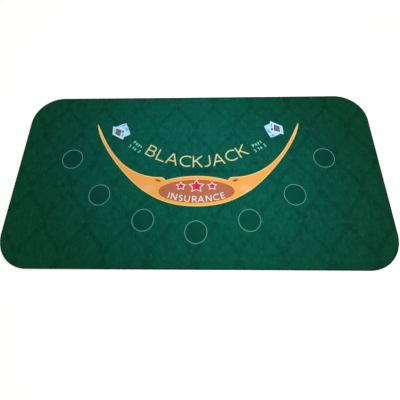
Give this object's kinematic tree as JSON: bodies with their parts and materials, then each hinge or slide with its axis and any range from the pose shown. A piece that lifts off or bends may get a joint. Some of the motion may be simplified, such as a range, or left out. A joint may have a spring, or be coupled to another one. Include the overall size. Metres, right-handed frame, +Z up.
{
  "type": "blackjack table top mat",
  "caption": "Flexible roll-out card table top: rubber sheet with a stitched edge and a printed green cloth face, laid flat on any table.",
  "frame": {"origin": "middle of the underside, on the surface that the mat lies on", "axes": "+X along the long edges, to the right for the players; +Y from the players' edge to the dealer's edge; +Z up out of the printed face"},
  "size_m": [1.8, 0.9, 0.0035],
  "materials": {
    "rubber": "matt black foam rubber with a fine cell texture",
    "bond": "dried adhesive film, hidden",
    "cloth": "matt woven polyester, dark green with a tone-on-tone lattice",
    "thread": "matt black overlock thread",
    "ink_line": "pale green print on cloth",
    "ink_band": "orange-yellow print on cloth",
    "ink_oval": "brown print on cloth",
    "ink_fold": "darker orange print on cloth",
    "ink_gold": "gold-yellow print on cloth",
    "ink_white": "white print on cloth",
    "ink_red": "red print on cloth",
    "ink_mint": "mint green print on cloth",
    "ink_card_back": "pale blue print on cloth",
    "ink_card_front": "white print on cloth"
  },
  "bodies": {
    "root": {"rubber_base": "rubber", "bonding_film": "bond", "face_cloth": "cloth", "edge_overlock": "thread", "bet_circle_1": "ink_line", "bet_circle_2": "ink_line", "bet_circle_3": "ink_line", "bet_circle_4": "ink_line", "bet_circle_5": "ink_line", "bet_circle_6": "ink_line", "bet_circle_7": "ink_line", "horn_band": "ink_band", "band_oval": "ink_oval", "card_back_left": "ink_card_back", "card_back_right": "ink_card_back", "card_front_left": "ink_card_front", "card_front_right": "ink_card_front", "fold_mark_left": "ink_fold", "fold_mark_right": "ink_fold", "game_word_1_B": "ink_gold", "game_word_2_L": "ink_gold", "game_word_3_A": "ink_gold", "game_word_4_C": "ink_gold", "game_word_5_K": "ink_gold", "game_word_6_J": "ink_gold", "game_word_7_A": "ink_gold", "game_word_8_C": "ink_gold", "game_word_9_K": "ink_gold", "oval_word_1_I": "ink_white", "oval_word_2_N": "ink_white", "oval_word_3_S": "ink_white", "oval_word_4_U": "ink_white", "oval_word_5_R": "ink_white", "oval_word_6_A": "ink_white", "oval_word_7_N": "ink_white", "oval_word_8_C": "ink_white", "oval_word_9_E": "ink_white", "payout_left_1a_P": "ink_mint", "payout_left_1b_a": "ink_mint", "payout_left_1c_y": "ink_mint", "payout_left_1d_s": "ink_mint", "payout_left_2a_3": "ink_mint", "payout_left_2b_t": "ink_mint", "payout_left_2c_o": "ink_mint", "payout_left_2d_2": "ink_mint", "payout_right_1a_P": "ink_mint", "payout_right_1b_a": "ink_mint", "payout_right_1c_y": "ink_mint", "payout_right_1d_s": "ink_mint", "payout_right_2a_3": "ink_mint", "payout_right_2b_t": "ink_mint", "payout_right_2c_o": "ink_mint", "payout_right_2d_2": "ink_mint", "star_middle_centre": "ink_red", "star_middle_left": "ink_red", "star_middle_right": "ink_red", "star_outline_centre": "ink_white", "star_outline_left": "ink_white", "star_outline_right": "ink_white"}
  },
  "joints": []
}
